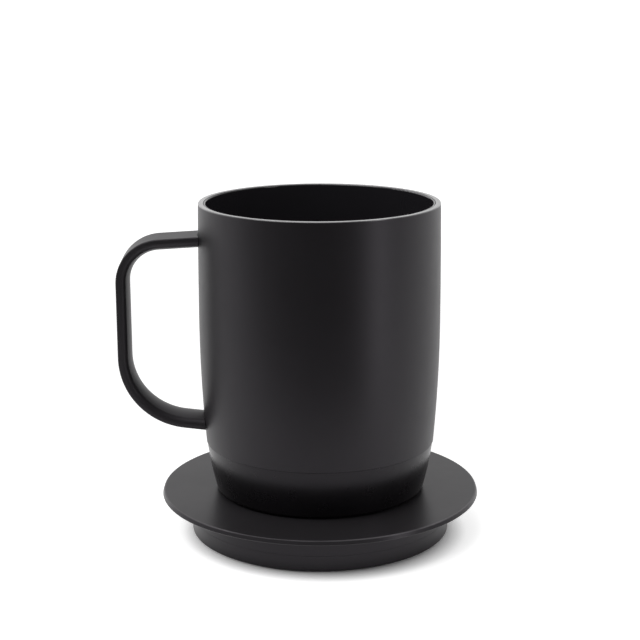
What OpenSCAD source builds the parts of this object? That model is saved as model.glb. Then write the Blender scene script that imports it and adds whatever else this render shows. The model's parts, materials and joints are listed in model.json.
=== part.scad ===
// Self-heating mug standing on its charging coaster, in millimetres.
// The origin is on the mug's axis at the floor. +Z is up, the handle points
// along -X and the coaster's charging inlet along +Y.

/* [Coaster] */
// Diameter of the flange
flange_d = 111; // [104:0.5:124]
// Thickness of the flange
flange_t = 1.5; // [1.3:0.1:2.4]
// Rounding of the flange's top edge
flange_edge_r = 0.3; // [0.2:0.1:0.6]
// Lean of the flange's edge, in degrees
flange_lean = 18; // [0:1:30]
// Height of the coaster, from the floor to its deck
coaster_h = 15; // [14:0.5:20]
// Diameter of the drum under the flange
drum_d = 90.5; // [86:0.5:96]
// Wall of the drum
drum_wall = 2; // [1.6:0.1:2.6]
// Thickness of the deck inside the drum
deck_t = 2; // [1.6:0.1:2.6]
// Height of the parting line round the drum
split_z = 5.7; // [4.8:0.1:6.2]
// Height of the base's lip inside the top
base_lip_h = 2.5; // [1.5:0.1:3.5]
// Wall of the base's lip
base_lip_wall = 1.6; // [1.2:0.1:2.2]
// Thickness of the base's floor
base_floor_t = 1.5; // [1.2:0.1:2]
// Height of the base's rim above the table
base_rise = 0.4; // [0.2:0.1:0.8]
// Rounding of the drum's bottom edge
drum_edge_r = 0.4; // [0.3:0.1:1.2]
// Thickness of the soft foot pad
foot_pad_t = 1.5; // [1.2:0.1:2]
// Width of the base's rim round the foot pad
foot_pad_inset = 3.4; // [2.5:0.1:6]

/* [Charging contacts] */
// Height of the raised seat that centres the mug
locator_h = 0.6; // [0.4:0.1:0.8]
// Distance from the inner contact pin to the outer one
pin_pitch = 9; // [8:0.5:11]
// Diameter of a contact pin's tip
pin_d = 1.8; // [1.4:0.1:2]
// Diameter of a pin's barrel
barrel_d = 3.8; // [3.6:0.1:4.4]
// Wall of a pin's barrel
barrel_wall = 0.4; // [0.3:0.05:0.5]
// Thickness of the lip that keeps a pin in its barrel
barrel_lip = 0.6; // [0.4:0.1:1]
// Wire of a pin's spring
spring_wire = 0.3; // [0.2:0.02:0.36]
// Turns of a pin's spring
spring_turns = 5; // [4:1:6]
// Width of the block that holds the pins
block_w = 9; // [8:0.5:11]
// Height of the block's collar under the deck
block_collar_t = 1.5; // [1:0.1:2]
// Thickness of the contact disc and ring
contact_t = 0.6; // [0.4:0.1:0.8]
// Diameter of the contact disc
contact_d = 6; // [5:0.5:7]
// Width of the contact ring
contact_ring_w = 3.5; // [2.5:0.5:4.5]

/* [Charge board and inlet] */
// Thickness of both circuit boards
pcb_t = 1.2; // [0.8:0.2:1.6]
// Width of the charge board
charge_board_w = 28; // [26:0.5:32]
// Reach of the charge board in front of the pin block
charge_board_front = 4.5; // [4.2:0.1:8]
// Height of the posts under the charge board
charge_post_h = 2.5; // [2:0.1:3]
// Width of the inlet's shell
inlet_w = 8.9; // [8.4:0.1:9.4]
// Height of the inlet's shell
inlet_h = 3.2; // [3:0.1:3.4]
// Length of the inlet's shell
inlet_l = 7.4; // [6.5:0.1:9]
// Sheet of the inlet's shell
inlet_wall = 0.3; // [0.2:0.05:0.4]
// Thickness of the inlet's tongue
tongue_t = 0.7; // [0.6:0.05:0.9]

/* [Mug shell] */
// Largest diameter of the mug, at its belt
mug_d = 83.2; // [81:0.2:88]
// Height of the mug, from its seat to the lip
mug_h = 101.2; // [98:0.2:125]
// Wall of the shell
shell_wall = 0.8; // [0.6:0.1:1]
// Width of the flat lip
lip_w = 1.8; // [1.4:0.1:2]
// Rounding of the lip's edges
lip_edge_r = 0.3; // [0.2:0.05:0.5]
// Depth of the folded lip
lip_h = 2.4; // [2:0.2:3.4]
// Height of the belt above the seat
belt_h = 60; // [52:0.5:64]
// Radius of the curve that draws the shell in above the belt
rim_curve_r = 2500; // [2000:100:3000]
// Radius of the curve that draws the shell in below the belt
shell_curve_r = 495; // [440:5:600]
// Height of the seam above the seat
seam_h = 17.6; // [16.5:0.1:19]
// Step from the shell in to the base band at the seam
seam_step = 0.2; // [0.1:0.05:0.4]

/* [Inner cup] */
// Wall of the inner liner
liner_wall = 0.7; // [0.5:0.1:0.9]
// Radius of the liner's bottom corner, inside
liner_corner_r = 10; // [7:0.5:12]
// Drop of the liner's edge below the shell's lip
liner_drop = 0.1; // [0.1:0.05:0.4]

/* [Handle] */
// Reach of the handle's outer face from the mug's axis
handle_reach = 69.4; // [66:0.1:76]
// Width of the strap
handle_w = 14; // [12:0.5:17]
// Thickness of the strap at the crown of its inner face
handle_t = 4.4; // [4:0.1:4.8]
// Height of the upper arm's top face above the seat, at the belt's radius
handle_top = 90.3; // [84:0.1:94]
// Height of the lower arm's bottom face above the seat, at the belt's radius
handle_bottom = 22.6; // [21:0.1:27]
// Fall of the upper arm, away from the mug
handle_top_fall = 3.2; // [0:0.2:6]
// Rise of the lower arm, away from the mug
handle_bottom_rise = 7; // [2:0.2:10]
// Outer radius of the upper bend
handle_top_r = 15.3; // [12:0.1:20]
// Outer radius of the lower bend
handle_bottom_r = 25.2; // [20:0.2:27]
// Height of the strap's straight sides
handle_side = 1.2; // [1:0.1:1.4]
// Rounding of the outer face's edges
handle_edge_r = 0.5; // [0.3:0.1:0.8]
// Rounding between the sides and the crowned inner face
handle_inner_r = 2.4; // [1.8:0.1:2.5]
// Joint line between the handle and the shell
handle_joint = 0.15; // [0.1:0.05:0.3]
// Depth of the tenons below the strap's flat and crowned faces
tenon_step = 0.9; // [0.7:0.1:1.1]
// Width of the tenons
tenon_w = 9; // [7:0.5:10]

/* [Base band] */
// Diameter of the base band at the seat
base_d = 72.2; // [70:0.2:74]
// Radius of the base band's curve
base_curve_r = 105; // [80:5:160]
// Wall of the base band
base_wall = 2; // [1.6:0.1:2.4]
// Clear height of the band's edge over the coaster
base_gap = 0.6; // [0.3:0.1:0.8]
// Rounding of the band's bottom edge
base_edge_r = 1.1; // [0.3:0.1:1.3]
// Height of the spigot inside the shell
spigot_h = 6; // [5:0.5:8]
// Wall of the spigot
spigot_wall = 2.4; // [2.2:0.1:3]
// Cord of the base seal
seal_d = 1.2; // [1:0.1:1.4]
// Wall of the mounting ring
ring_wall = 2; // [1.6:0.1:2.4]
// Thickness of the mounting ring's flange
ring_flange_t = 2; // [1.5:0.1:3]

/* [Underside] */
// Height of the cover's underside over the coaster
foot_h = 1.4; // [1.3:0.1:2]
// Thickness of the base cover
cover_t = 2; // [1.8:0.1:2.6]
// Rim of the cover outside the foot ring
cover_rim = 1.5; // [1:0.1:2]
// Width of the foot ring
foot_ring_w = 4.5; // [4.4:0.1:5.5]
// Depth of the foot ring's groove
foot_groove = 0.8; // [0.6:0.1:1]
// Diameter of the power button
button_d = 8; // [6:0.5:9]
// Distance of the power button from the mug's axis
button_offset = 18; // [17:0.5:19]
// Travel of the power button
button_travel = 0.5; // [0.3:0.05:0.5]
// Height of the button beyond the cover
button_proud = 0.2; // [0.1:0.05:0.3]
// Thickness of the button's flange
button_flange_t = 0.8; // [0.6:0.1:1]

/* [Electronics and heater] */
// Height of the posts under the main board
board_post_h = 3.2; // [3.2:0.1:5]
// Side of the tact switch
switch_w = 6; // [5:0.5:7]
// Height of the tact switch's body
switch_h = 1.3; // [1.2:0.1:1.4]
// Diameter of the switch's plunger
plunger_d = 2.6; // [2:0.1:3.4]
// Height of the battery tray's legs
tray_leg_h = 2; // [1.8:0.1:4]
// Wall of the battery tray
tray_wall = 1; // [0.8:0.1:1.2]
// Diameter of a battery cell
cell_d = 18; // [16:0.5:18.5]
// Length of a battery cell
cell_l = 35; // [30:0.5:36]
// Strip of the battery tabs
tab_t = 0.3; // [0.2:0.05:0.4]
// Width of the battery tabs
tab_w = 5; // [4:0.5:6]
// Thickness of the insulation pad
insulation_t = 2; // [1.5:0.1:3]
// Thickness of the heater film
film_t = 0.4; // [0.2:0.1:0.6]
// Width of the heater film's tail
tail_w = 6; // [5:0.5:8]
// Thickness of the heat spreader
spreader_t = 1.5; // [1:0.1:2.5]
// Diameter of the thermistor
thermistor_d = 2.4; // [2:0.1:3]

/* [Screws and clearances] */
// Diameter of the screws
screw_d = 2.2; // [2:0.1:2.5]
// Diameter of the screw heads
screw_head_d = 4; // [3.6:0.1:4.2]
// Height of the screw heads
screw_head_h = 1.3; // [1:0.1:1.6]
// Length of the screws under the head
screw_l = 7; // [6:0.5:8]
// Wall round a screw in its boss
boss_wall = 1.7; // [1.4:0.1:2]
// Material under a screw's head
screw_seat_t = 1.2; // [1:0.1:1.6]
// Clearance of pieces that fit together
fit = 0.1; // [0.05:0.01:0.14]
// Gap of the seams that show
seam_gap = 0.16; // [0.1:0.02:0.24]
// Gap of pieces that just touch
touch = 0.05; // [0.03:0.01:0.06]

/* [Hidden] */
$fn = 96;
big_fn = 720;
huge_fn = 2880;
arc_steps = 6;
slack = 1;
weld = 0.01;

// Colours
black_coat = "#26282b";
black_plastic = "#1d1e20";
black_gloss = "#101114";
silicone = "#2b2c2e";
board_green = "#1f5a3a";
chip_black = "#17181a";
gold = "#c9a24a";
brass = "#b58a3c";
steel = "#b9bcc0";
aluminium = "#c6c8ca";
polyimide = "#b5701f";
cell_wrap = "#2f6fb0";
foam_white = "#e3e0d8";
tray_grey = "#4a4c50";

// Coaster levels and radii
flange_r = flange_d / 2;
drum_r = drum_d / 2;
drum_in_r = drum_r - drum_wall;
deck_z = coaster_h - deck_t;
flange_z = coaster_h - flange_t;
flange_bevel = 0.8;
flange_chamfer = 0.15;
floor_z = foot_pad_t + base_floor_t;
lip_r = drum_in_r - fit;
lip_in_r = lip_r - base_lip_wall;
foot_pad_r = drum_r - foot_pad_inset;
edge_bevel = 0.4;

// Screws and their bosses
boss_r = screw_d / 2 + boss_wall;
screw_hole_r = screw_d / 2 + fit;
head_hole_r = screw_head_d / 2 + fit;
drive_d = screw_d * 0.7;
drive_depth = screw_head_h * 0.6;
coaster_screw_r = lip_in_r - boss_r - slack;
coaster_seat_z = foot_pad_t + touch + screw_head_h;
coaster_post_z = max(coaster_seat_z + screw_seat_t, floor_z + fit);
quarter_turns = [45 : 90 : 315];

// Charge board and inlet
charge_board_z = floor_z + charge_post_h;
charge_board_top = charge_board_z + pcb_t;
charge_board_y = block_w / 2 + charge_board_front;
charge_board_r = lip_in_r - slack;
post_r = 2;
stake_r = 0.9;
stake_out = 0.4;
board_edge = 3;
inlet_z = charge_board_top + inlet_h / 2;
inlet_recess = 0.8;
inlet_y = drum_r - inlet_recess - inlet_l;
inlet_gap = 0.3;
tongue_back = 2;
tongue_short = 1;
tongue_side = 0.9;

// Levels of the mug's base, from the seat up
seat_z = coaster_h;
locator_z = coaster_h + locator_h;
cover_z = seat_z + foot_h;
cover_top = cover_z + cover_t;
board_z = cover_top + board_post_h;
board_top = board_z + pcb_t;
tray_z = board_top + tray_leg_h;
tray_floor_z = tray_z + tray_wall;
cell_lift = 0.3;
cell_gap = 0.3;
cell_z = tray_floor_z + cell_lift + cell_d / 2;
insulation_z = cell_z + cell_d / 2 + cell_gap;
film_z = insulation_z + insulation_t;
spreader_z = film_z + film_t;
liner_z = spreader_z + spreader_t;
rim_z = seat_z + mug_h;
belt_z = seat_z + belt_h;
seam_z = seat_z + seam_h;
band_top_z = seam_z - seam_gap;
spigot_z = seam_z + spigot_h;

// Nearest thousandth of a millimetre
function grid(v) = round(v * 1000) / 1000;

// Where a circle of radius r about c stands at height z
function circle_r_at(c, r, z) = c.x + sqrt(r * r - (z - c.y) * (z - c.y));

// Centre of the arc of radius r from p down to q, on the axis side of both
function arc_centre(p, q, r) =
    let (d = norm(q - p), u = (q - p) / d)
    (p + q) / 2 + sqrt(r * r - d * d / 4) * [u.y, -u.x];

// Points of an arc about c, from angle a to angle b
function arc(c, r, a, b, n = arc_steps) =
    [for (i = [0 : n]) c + r * [cos(a + (b - a) * i / n), sin(a + (b - a) * i / n)]];

// Outline with round ends, along X from a to b
function stadium(a, b, d) = concat(arc([b, 0], d / 2, -90, 90, 12), arc([a, 0], d / 2, 90, 270, 12));

// Mug radii
mug_r = mug_d / 2;
rim_curve_c = [mug_r - rim_curve_r, belt_z];
shell_curve_c = [mug_r - shell_curve_r, belt_z];
lip_z = rim_z - lip_edge_r;
rim_r = grid(circle_r_at(rim_curve_c, rim_curve_r, lip_z)) - weld;
seam_r = circle_r_at(shell_curve_c, shell_curve_r, seam_z);
shell_in_r = circle_r_at(shell_curve_c, shell_curve_r - shell_wall, seam_z);
liner_r = rim_r - lip_w - touch;
liner_in_r = liner_r - liner_wall;
liner_top_z = rim_z - liner_drop;
liner_out_corner_r = liner_corner_r + liner_wall;
band_c = arc_centre([seam_r - seam_step, seam_z], [base_d / 2, seat_z], base_curve_r);

// Handle: heights of its arms at the belt's radius, and centres of its bends as radius and height
arm_top_z = min(seat_z + handle_top, rim_z - handle_t);
arm_bottom_z = seat_z + handle_bottom;
upper_x = handle_reach - handle_top_r;
lower_x = handle_reach - handle_bottom_r;
upper_c = [upper_x, grid(arm_top_z
    - (handle_top_r + (upper_x - mug_r) * sin(handle_top_fall)) / cos(handle_top_fall))];
lower_c = [lower_x, grid(arm_bottom_z
    + (handle_bottom_r + (lower_x - mug_r) * sin(handle_bottom_rise)) / cos(handle_bottom_rise))];

// Base housing, mounting ring and seal
shoulder_t = 2;
bore_r = shell_in_r - ring_wall;
spigot_r = bore_r - fit;
spigot_in_r = spigot_r - spigot_wall;
seal_r = bore_r - touch - seal_d / 2;
groove_r = seal_r - seal_d / 2 - touch;
groove_h = seal_d + 4 * touch;
groove_z = seam_z + spigot_h * 0.4;
housing_screw_r = spigot_in_r - head_hole_r;
housing_boss_h = screw_l - ring_flange_t;
ring_flange_in_r = housing_screw_r - boss_r - fit;
housing_turns = [30 : 120 : 270];

// Cover, foot ring and what stands on the cover
opening_r = circle_r_at(band_c, base_curve_r - base_wall, seat_z + base_gap);
cover_r = opening_r - seam_gap;
foot_r = cover_r - cover_rim;
foot_in_r = foot_r - foot_ring_w;
cover_screw_r = (foot_r + foot_in_r) / 2;
cover_seat_z = cover_z + foot_groove + touch + screw_head_h;
cover_boss_z = max(cover_seat_z + screw_seat_t, cover_top + fit);
cover_turns = [90 : 120 : 330];
rib_t = 2;
board_r = cover_screw_r - boss_r - slack;
board_post_r = board_r - board_edge;
stem_r = 1;
ring_in_r = pin_pitch - contact_ring_w / 2;
ring_out_r = pin_pitch + contact_ring_w / 2;
locator_gap = 0.4;
locator_r = foot_in_r - locator_gap;
locator_bevel = locator_h / 2;

// Pins, barrels and springs
bore_pin_r = barrel_d / 2 - barrel_wall;
pin_head_r = bore_pin_r - fit;
pin_head_h = 1.2;
pin_tip_z = cover_z - touch;
pin_head_top = locator_z - barrel_lip - touch;
pin_head_z = pin_head_top - pin_head_h;
barrel_floor = 0.6;
spring_z = charge_board_top + barrel_floor + touch;
spring_h = pin_head_z - touch - spring_z;
spring_r = bore_pin_r - fit - spring_wire / 2;
block_collar = 1.5;

// Button and switch
button_flange = 1;
button_stem_r = 1.5;
switch_z = board_z - switch_h;
plunger_z = switch_z - button_travel - fit;
plunger_in = 0.3;
plunger_room = plunger_in + button_travel + touch;

// Battery, tray and heater
cell_x = (cell_d + cell_gap) / 2;
cell_edge = 0.4;
terminal_r = 3.2;
terminal_h = 0.5;
tray_x = cell_x + cell_d / 2 + cell_gap + tray_wall;
tray_y = cell_l / 2 + tab_t + cell_gap + tray_wall;
tray_corner_r = 1;
cradle_h = cell_d * 0.3;
leg_r = 2;
leg_y = cell_l * 0.37;
heater_r = liner_r - liner_out_corner_r - 1.5;
tail_x = tray_x + 0.5;
thermistor_y = 12;
part_h = 1.1;
coil_h = 1.6;
charger_w = 5;
coil_w = 4;
coil_x = 7;
cap_w = 1.5;
cap_l = 2.3;
cap_x = 5;
cap_pitch = 3;
controller_w = 7;
inductor_w = 6;
inductor_x = 12;
row_pitch = 4;

// Region inside the mug's outer surface, moved in by inset, between two levels
module mug_region(inset, low, high) {
    intersection() {
        union() {
            intersection() {
                translate(rim_curve_c) circle(rim_curve_r - inset, $fn = huge_fn);
                translate([0, belt_z]) square([mug_d, rim_z - belt_z]);
            }
            intersection() {
                translate(shell_curve_c) circle(shell_curve_r - inset, $fn = big_fn);
                translate([0, seat_z]) square([mug_d, belt_z - seat_z]);
            }
        }
        translate([0, low]) square([mug_d, high - low]);
    }
}

// Region inside the base band's outer surface, moved in by inset
module band_region(inset, low, high) {
    intersection() {
        translate(band_c) circle(base_curve_r - inset, $fn = big_fn);
        translate([0, low]) square([mug_d, high - low]);
    }
}

// Region inside the base band's outer surface, with its round bottom edge
module band_outline() {
    low = seat_z + base_gap;
    edge_z = low + base_edge_r;
    edge_r = circle_r_at(band_c, base_curve_r - base_edge_r, edge_z);
    edge = grid(edge_r) - weld;
    touch_z = grid(edge_z + base_edge_r * (edge_z - band_c.y) / (base_curve_r - base_edge_r));
    band_region(0, touch_z, band_top_z);
    translate([0, low]) square([edge, touch_z - low]);
    translate([edge, edge_z]) circle(base_edge_r);
}

// Region of a cup with a rounded bottom corner
module cup_region(r, corner, low, high) {
    translate([0, low]) square([r - corner, high - low]);
    translate([0, low + corner]) square([r, high - low - corner]);
    translate([r - corner, low + corner]) circle(corner);
}

// Ring between two radii and two levels
module ring(r_in, r_out, low, high) {
    rotate_extrude() translate([r_in, low]) square([r_out - r_in, high - low]);
}

// Disc between two levels
module disc(r, low, high) {
    translate([0, 0, low]) cylinder(r = r, h = high - low);
}

// Box centred on X and Y, between two levels
module block(x, y, low, high) {
    translate([-x / 2, -y / 2, low]) cube([x, y, high - low]);
}

// Copies its children at a radius, once for each angle
module around(r, turns) {
    for (turn = turns)
        rotate(turn) translate([r, 0, 0]) children();
}

// Screw standing head down, with its head seated at z
module screw(z) {
    difference() {
        union() {
            disc(screw_head_d / 2, z - screw_head_h, z);
            disc(screw_d / 2, z - touch, z + screw_l);
        }
        translate([0, 0, z - screw_head_h - slack])
            cylinder(d = drive_d, h = drive_depth + slack, $fn = 6);
    }
}

// Post with a stake through a board
module board_post(low, board_low) {
    disc(post_r, low, board_low);
    disc(stake_r, low, board_low + pcb_t + stake_out);
}

// Coaster

// Outline of the coaster's top: flange with a leaning edge, drum wall, deck and locator
module coaster_top_outline() {
    foot = split_z + touch / 2;
    edge_z = coaster_h - flange_edge_r;
    face_h = edge_z + flange_edge_r * sin(flange_lean) - flange_z - flange_chamfer;
    edge = flange_r - face_h * tan(flange_lean) - flange_edge_r * cos(flange_lean);
    polygon(concat([
        [0, deck_z], [drum_in_r, deck_z], [drum_in_r, foot], [drum_r, foot],
        [drum_r, flange_z - flange_bevel], [drum_r + flange_bevel, flange_z],
        [flange_r - flange_chamfer, flange_z], [flange_r, flange_z + flange_chamfer]],
        arc([edge, edge_z], flange_edge_r, flange_lean, 90),
        [[locator_r, coaster_h], [locator_r - locator_bevel, locator_z], [0, locator_z]]));
}

module coaster_top() {
    color(black_plastic) difference() {
        union() {
            rotate_extrude() coaster_top_outline();
            around(coaster_screw_r, quarter_turns) disc(boss_r, coaster_post_z, deck_z + slack / 2);
        }
        translate([0, 0, deck_z - slack]) linear_extrude(deck_t + locator_h + 2 * slack)
            polygon(stadium(0, pin_pitch, block_w + 2 * fit));
        around(coaster_screw_r, quarter_turns)
            disc(screw_hole_r, coaster_post_z - slack, coaster_seat_z + screw_l + fit);
        inlet_slot();
    }
}

// Outline of the coaster's base: floor, rim with a round bottom edge, and the lip inside the top
module coaster_base_outline() {
    edge = drum_r - drum_edge_r;
    edge_z = base_rise + drum_edge_r;
    head = split_z - touch / 2;
    polygon([
        [0, foot_pad_t], [foot_pad_r + fit, foot_pad_t], [foot_pad_r + fit, base_rise],
        [edge, base_rise], [edge, edge_z], [drum_r, edge_z], [drum_r, head],
        [lip_r, head],
        [lip_r, split_z + base_lip_h], [lip_in_r, split_z + base_lip_h],
        [lip_in_r, floor_z], [0, floor_z]]);
    translate([edge, edge_z]) circle(drum_edge_r);
}

module coaster_base() {
    color(black_plastic) difference() {
        union() {
            rotate_extrude() coaster_base_outline();
            around(coaster_screw_r, quarter_turns) disc(boss_r, floor_z - slack / 2, coaster_post_z);
            charge_posts() board_post(floor_z - slack / 2, charge_board_z);
        }
        around(coaster_screw_r, quarter_turns) {
            disc(screw_hole_r, base_rise, coaster_post_z + slack);
            disc(head_hole_r, base_rise, coaster_seat_z);
        }
        inlet_slot();
    }
}

module coaster_foot_pad() {
    color(silicone) rotate_extrude() polygon([
        [0, 0], [foot_pad_r - edge_bevel, 0], [foot_pad_r, edge_bevel],
        [foot_pad_r, foot_pad_t], [0, foot_pad_t]]);
}

module coaster_screws() {
    color(steel) around(coaster_screw_r, quarter_turns) screw(coaster_seat_z);
}

// Copies its children at the charge board's four posts
module charge_posts() {
    for (x = [-1, 1], y = [board_edge - charge_board_y, inlet_y - board_edge])
        translate([x * (charge_board_w / 2 - board_edge), y, 0]) children();
}

// Slot for the inlet through the drum
module inlet_slot() {
    translate([0, inlet_y - inlet_gap, inlet_z]) rotate([-90, 0, 0])
        linear_extrude(flange_r - inlet_y) inlet_outline(inlet_gap);
}

// Outline of the inlet's shell, moved out by grow
module inlet_outline(grow) {
    h = inlet_h + 2 * grow;
    x = (inlet_w - inlet_h) / 2;
    polygon(stadium(-x, x, h));
}

module contact_block() {
    color(chip_black) difference() {
        union() {
            translate([0, 0, charge_board_top]) linear_extrude(locator_z - charge_board_top)
                polygon(stadium(0, pin_pitch, block_w));
            translate([0, 0, deck_z - block_collar_t]) linear_extrude(block_collar_t)
                polygon(stadium(0, pin_pitch, block_w + 2 * block_collar));
        }
        for (x = [0, pin_pitch]) translate([x, 0, 0])
            disc(barrel_d / 2 + touch, charge_board_top - slack, locator_z + slack);
    }
}

module pin_barrels() {
    lip_hole_r = pin_d / 2 + fit;
    color(brass) for (x = [0, pin_pitch]) translate([x, 0, 0]) rotate_extrude() polygon([
        [0, charge_board_top], [barrel_d / 2, charge_board_top], [barrel_d / 2, locator_z],
        [lip_hole_r, locator_z], [lip_hole_r, locator_z - barrel_lip],
        [bore_pin_r, locator_z - barrel_lip], [bore_pin_r, charge_board_top + barrel_floor],
        [0, charge_board_top + barrel_floor]]);
}

// Compression spring swept along its helix
module pin_spring() {
    sides = 6;
    steps = 12 * spring_turns;
    rise = spring_h - spring_wire;
    slope = atan2(rise, 360 * spring_turns * spring_r * PI / 180);
    points = [for (i = [0 : steps], k = [0 : sides - 1])
        let (turn = 360 * spring_turns * i / steps, a = 360 * k / sides,
             out = spring_r + spring_wire / 2 * cos(a), up = spring_wire / 2 * sin(a))
        [out * cos(turn) + up * sin(slope) * sin(turn),
         out * sin(turn) - up * sin(slope) * cos(turn),
         spring_z + spring_wire / 2 + rise * i / steps + up * cos(slope)]];
    walls = [for (i = [0 : steps - 1], k = [0 : sides - 1], half = [0, 1])
        let (a = i * sides + k, b = i * sides + (k + 1) % sides)
        half == 0 ? [a, a + sides, b] : [b, a + sides, b + sides]];
    first = [for (k = [1 : sides - 2]) [0, k, k + 1]];
    end = steps * sides;
    last = [for (k = [1 : sides - 2]) [end, end + k + 1, end + k]];
    polyhedron(points, concat(walls, first, last));
}

module pin_spring_inner() {
    color(steel) pin_spring();
}

module pin_spring_outer() {
    color(steel) translate([pin_pitch, 0, 0]) pin_spring();
}

// Contact pin with a domed tip and the head that its barrel keeps
module contact_pin() {
    r = pin_d / 2;
    color(gold) rotate_extrude() polygon(concat(
        [[0, pin_head_z], [pin_head_r, pin_head_z], [pin_head_r, pin_head_top], [r, pin_head_top]],
        arc([r / 2, pin_tip_z - r / 2], r / 2, 0, 90), [[0, pin_tip_z]]));
}

module contact_pin_inner() {
    contact_pin();
}

module contact_pin_outer() {
    translate([pin_pitch, 0, 0]) contact_pin();
}

module charge_board() {
    color(board_green) difference() {
        intersection() {
            translate([-charge_board_w / 2, -charge_board_y, charge_board_z])
                cube([charge_board_w, charge_board_y + drum_r, pcb_t]);
            disc(charge_board_r, charge_board_z - slack, charge_board_top + slack);
        }
        charge_posts() disc(stake_r + fit, charge_board_z - slack, charge_board_top + slack);
    }
}

module charge_board_parts() {
    low = charge_board_top;
    y = (block_w / 2 + block_collar + inlet_y) / 2;
    color(chip_black) {
        translate([0, y, 0]) block(charger_w, charger_w, low, low + part_h);
        for (x = [-coil_x, coil_x]) translate([x, y - coil_w, 0])
            block(coil_w, coil_w, low, low + coil_h);
        for (side = [-1, 1], step = [0, 1]) translate([side * (cap_x + step * cap_pitch), y + coil_w, 0])
            block(cap_w, cap_l, low, low + part_h);
    }
}

module usb_shell() {
    color(steel) translate([0, inlet_y, inlet_z]) rotate([-90, 0, 0]) linear_extrude(inlet_l)
        difference() {
            inlet_outline(0);
            inlet_outline(-inlet_wall);
        }
}

module usb_tongue() {
    tongue_w = inlet_w - 2 * inlet_wall - 2 * tongue_side;
    tongue_l = inlet_l - tongue_short;
    color(chip_black) translate([0, inlet_y, inlet_z]) rotate([-90, 0, 0]) {
        linear_extrude(tongue_back) inlet_outline(-inlet_wall - touch);
        translate([-tongue_w / 2, -tongue_t / 2, 0]) cube([tongue_w, tongue_t, tongue_l]);
    }
}

// Mug shell, liner and handle

module mug_shell() {
    fold_z = rim_z - lip_h;
    fold = lip_w - shell_wall;
    color(black_coat) difference() {
        rotate_extrude() {
            difference() {
                mug_region(0, seam_z, lip_z);
                mug_region(shell_wall, seam_z - slack, fold_z);
                polygon([
                    [0, fold_z - slack], [rim_r - shell_wall - fold / 2, fold_z - slack],
                    [rim_r - shell_wall - fold / 2, fold_z], [rim_r - lip_w, fold_z + fold],
                    [rim_r - lip_w, rim_z], [0, rim_z]]);
            }
            for (r = [rim_r - lip_edge_r, rim_r - lip_w + lip_edge_r])
                translate([r, lip_z]) circle(lip_edge_r);
            translate([rim_r - lip_w + lip_edge_r, lip_z - lip_edge_r])
                square([lip_w - 2 * lip_edge_r, 2 * lip_edge_r]);
        }
        tenons(fit);
    }
}

module inner_liner() {
    high = liner_top_z - liner_wall / 2;
    color(black_gloss) rotate_extrude() {
        difference() {
            cup_region(liner_r, liner_out_corner_r, liner_z, high);
            cup_region(liner_in_r, liner_corner_r, liner_z + liner_wall, high + slack);
        }
        translate([liner_r - liner_wall / 2, high]) circle(liner_wall / 2);
    }
}

// Quarter of a disc, in the quadrant that the signs x and y give
module quarter(r, x, y) {
    intersection() {
        circle(r);
        translate([min(x, 0) * r, min(y, 0) * r]) square(r);
    }
}

// Section of the strap, moved out by grow: flat outer face on X = 0, crowned inner face at X = -handle_t
module handle_section(grow = 0) {
    edge = handle_edge_r;
    round = handle_inner_r;
    w = handle_w / 2;
    round_y = w - round;
    rise = handle_t - handle_side;
    crown_r = (round_y * round_y + rise * rise - round * round) / (2 * (rise - round));
    crown_y = (crown_r + grow) * round_y / (crown_r - round);
    translate([-handle_side, -w - grow]) square([handle_side - edge, handle_w + 2 * grow]);
    translate([-edge, edge - w]) square([edge + grow, handle_w - 2 * edge]);
    intersection() {
        translate([crown_r - handle_t, 0]) circle(crown_r + grow, $fn = big_fn);
        translate([-handle_t - grow, -crown_y]) square([rise + grow, 2 * crown_y]);
    }
    for (side = [-1, 1]) {
        translate([-handle_side, side * round_y]) quarter(round + grow, -1, side);
        translate([-handle_side, side * round_y]) quarter(round + grow, -1, -side);
        translate([-edge, side * (w - edge)]) quarter(edge + grow, 1, side);
    }
}

// Whole loop of the strap: upper arm, upper bend, grip, lower bend and lower arm. The arms stand out from
// the bends by weld, reach in to them by touch, and run in to the shell.
module handle_loop() {
    run_in = mug_r - 2 * shell_wall;
    upper_arm = (upper_c.x + handle_top_r * sin(handle_top_fall) - run_in) / cos(handle_top_fall);
    lower_arm = (lower_c.x + handle_bottom_r * sin(handle_bottom_rise) - run_in) / cos(handle_bottom_rise);
    translate([-upper_c.x, 0, upper_c.y]) {
        rotate([0, -90 - handle_top_fall, 0]) translate([handle_top_r, 0, -upper_arm])
            linear_extrude(upper_arm + touch) handle_section(weld);
        rotate([90, 0, 0]) rotate(180) mirror([0, 1, 0]) rotate_extrude(angle = 90 - handle_top_fall)
            translate([handle_top_r, 0]) handle_section();
    }
    translate([-handle_reach, 0, lower_c.y]) mirror([1, 0, 0])
        linear_extrude(upper_c.y - lower_c.y) handle_section();
    translate([-lower_c.x, 0, lower_c.y]) {
        rotate([90, 0, 0]) rotate(180) rotate_extrude(angle = 90 - handle_bottom_rise)
            translate([handle_bottom_r, 0]) handle_section();
        rotate([0, 90 + handle_bottom_rise, 0]) translate([handle_bottom_r, 0, -touch])
            linear_extrude(lower_arm + 2 * slack) handle_section(weld);
    }
}

// Tenons of both handle ends, moved out by grow, running in through the shell
module tenons(grow) {
    t = handle_t - 2 * tenon_step + 2 * grow;
    w = tenon_w + 2 * grow;
    l = 4 * slack;
    for (z = [arm_top_z - handle_t / 2, arm_bottom_z + handle_t / 2])
        translate([-mug_r - slack / 2, -w / 2, z - t / 2]) cube([l, w, t]);
}

module handle() {
    color(black_coat) {
        difference() {
            handle_loop();
            rotate_extrude() mug_region(-handle_joint, seam_z, rim_z);
        }
        difference() {
            tenons(0);
            rotate_extrude() mug_region(shell_wall, seam_z, rim_z);
        }
    }
}

// Base of the mug

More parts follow.
